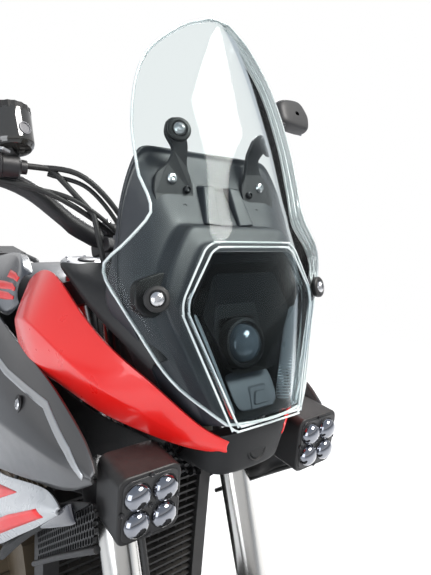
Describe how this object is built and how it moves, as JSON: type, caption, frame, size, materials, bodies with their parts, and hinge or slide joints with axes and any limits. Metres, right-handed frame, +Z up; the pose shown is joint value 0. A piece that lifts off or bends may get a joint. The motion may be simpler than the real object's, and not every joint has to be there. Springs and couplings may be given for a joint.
{
  "type": "adventure motorcycle",
  "caption": "Adventure touring motorcycle with tall clear windscreen, spot lamps, tank shrouds, rack and cast wheels, leaning on its side stand with bars turned",
  "frame": {"origin": "Centre of the bounding box at ground level, the ground plane being Z = 0, as it leans on its side stand", "axes": "+X points to the front of the motorcycle, +Y to the rider's left, +Z up"},
  "size_m": [2.1525, 0.9366, 1.5592],
  "materials": {
    "alloy": "machined",
    "bar_black": "satin",
    "black_plastic": "grained",
    "caliper_black": "anodised",
    "chain_steel": "oiled",
    "chrome_tube": "hard chrome",
    "cowl_graphite": "satin graphite",
    "disc_steel": "ground",
    "display_black": "gloss glass face",
    "engine_bronze": "satin bronze and black castings",
    "frame_black": "satin powder coat",
    "grip_rubber": "ribbed",
    "header_metal": "heat-tinted",
    "hose_rubber": "smooth",
    "lamp_black": "dark housing",
    "lamp_red": "clear red",
    "lens_clear": "clear",
    "mirror_black": "grained",
    "muffler_dark": "satin",
    "panel_graphite": "metallic",
    "panel_red": "gloss",
    "panel_silver": "silver white",
    "plate_silver": "brushed",
    "rack_black": "powder coated",
    "radiator_black": "black coated",
    "screen_clear": "clear polycarbonate",
    "seat_black": "grained cover over foam",
    "shock_spring": "gloss",
    "signal_clear": "clear",
    "slider_black": "black anodised",
    "swingarm_silver": "cast",
    "tank_grey": "metallic satin",
    "tyre_rubber": "black",
    "wheel_black": "satin black"
  },
  "bodies": {
    "chassis": {"frame": "frame_black", "engine": "engine_bronze", "skid_plate": "plate_silver", "exhaust_header": "header_metal", "muffler": "muffler_dark", "radiator": "radiator_black", "fuel_tank": "tank_grey", "seat": "seat_black", "tail_cover": "black_plastic", "luggage_rack": "rack_black", "rear_lamps": "lamp_red", "swingarm": "swingarm_silver", "rear_shock": "shock_spring", "drive_chain": "chain_steel", "headlight": "lamp_black", "headlight_lens": "lens_clear", "windscreen": "screen_clear", "inner_cowl": "cowl_graphite", "nose_cowl": "black_plastic", "red_side_panels": "panel_red", "tank_side_covers": "panel_graphite", "lower_shrouds": "panel_silver", "display": "display_black", "front_signals": "signal_clear", "spot_lamps": "lamp_black", "foot_controls": "alloy", "rear_caliper": "caliper_black"},
    "steering": {"fork_tubes": "chrome_tube", "fork_sliders": "slider_black", "triple_clamps": "bar_black", "handlebar": "bar_black", "grips": "grip_rubber", "brake_control": "bar_black", "clutch_control": "bar_black", "mirrors": "mirror_black", "front_mudguard": "black_plastic", "front_calipers": "caliper_black", "brake_hose": "hose_rubber"},
    "front_wheel": {"front_tyre": "tyre_rubber", "front_rim": "wheel_black", "front_discs": "disc_steel"},
    "rear_wheel": {"rear_tyre": "tyre_rubber", "rear_rim": "wheel_black", "rear_disc_and_sprocket": "disc_steel"},
    "side_stand": {"side_stand": "frame_black"}
  },
  "joints": [
    {"name": "steering", "type": "hinge", "parent": "chassis", "child": "steering", "pos_m": [0.42818, -0.06858, 0.94568], "axis": [-0.4125, 0.1251, 0.9023], "range_deg": [-45.9, 24.1]},
    {"name": "front_wheel_spin", "type": "hinge", "parent": "steering", "child": "front_wheel", "pos_m": [0.75981, -0.14654, 0.3228], "axis": [-0.1725, 0.9619, -0.2122], "continuous": true},
    {"name": "rear_wheel_spin", "type": "hinge", "parent": "chassis", "child": "rear_wheel", "pos_m": [-0.74147, -0.15584, 0.31872], "axis": [-0.0002, 0.9905, -0.1374], "continuous": true},
    {"name": "side_stand_fold", "type": "hinge", "parent": "chassis", "child": "side_stand", "pos_m": [-0.05334, -0.01933, 0.23912], "axis": [0.0671, 0.9494, 0.3067], "range_deg": [0, 95]}
  ]
}
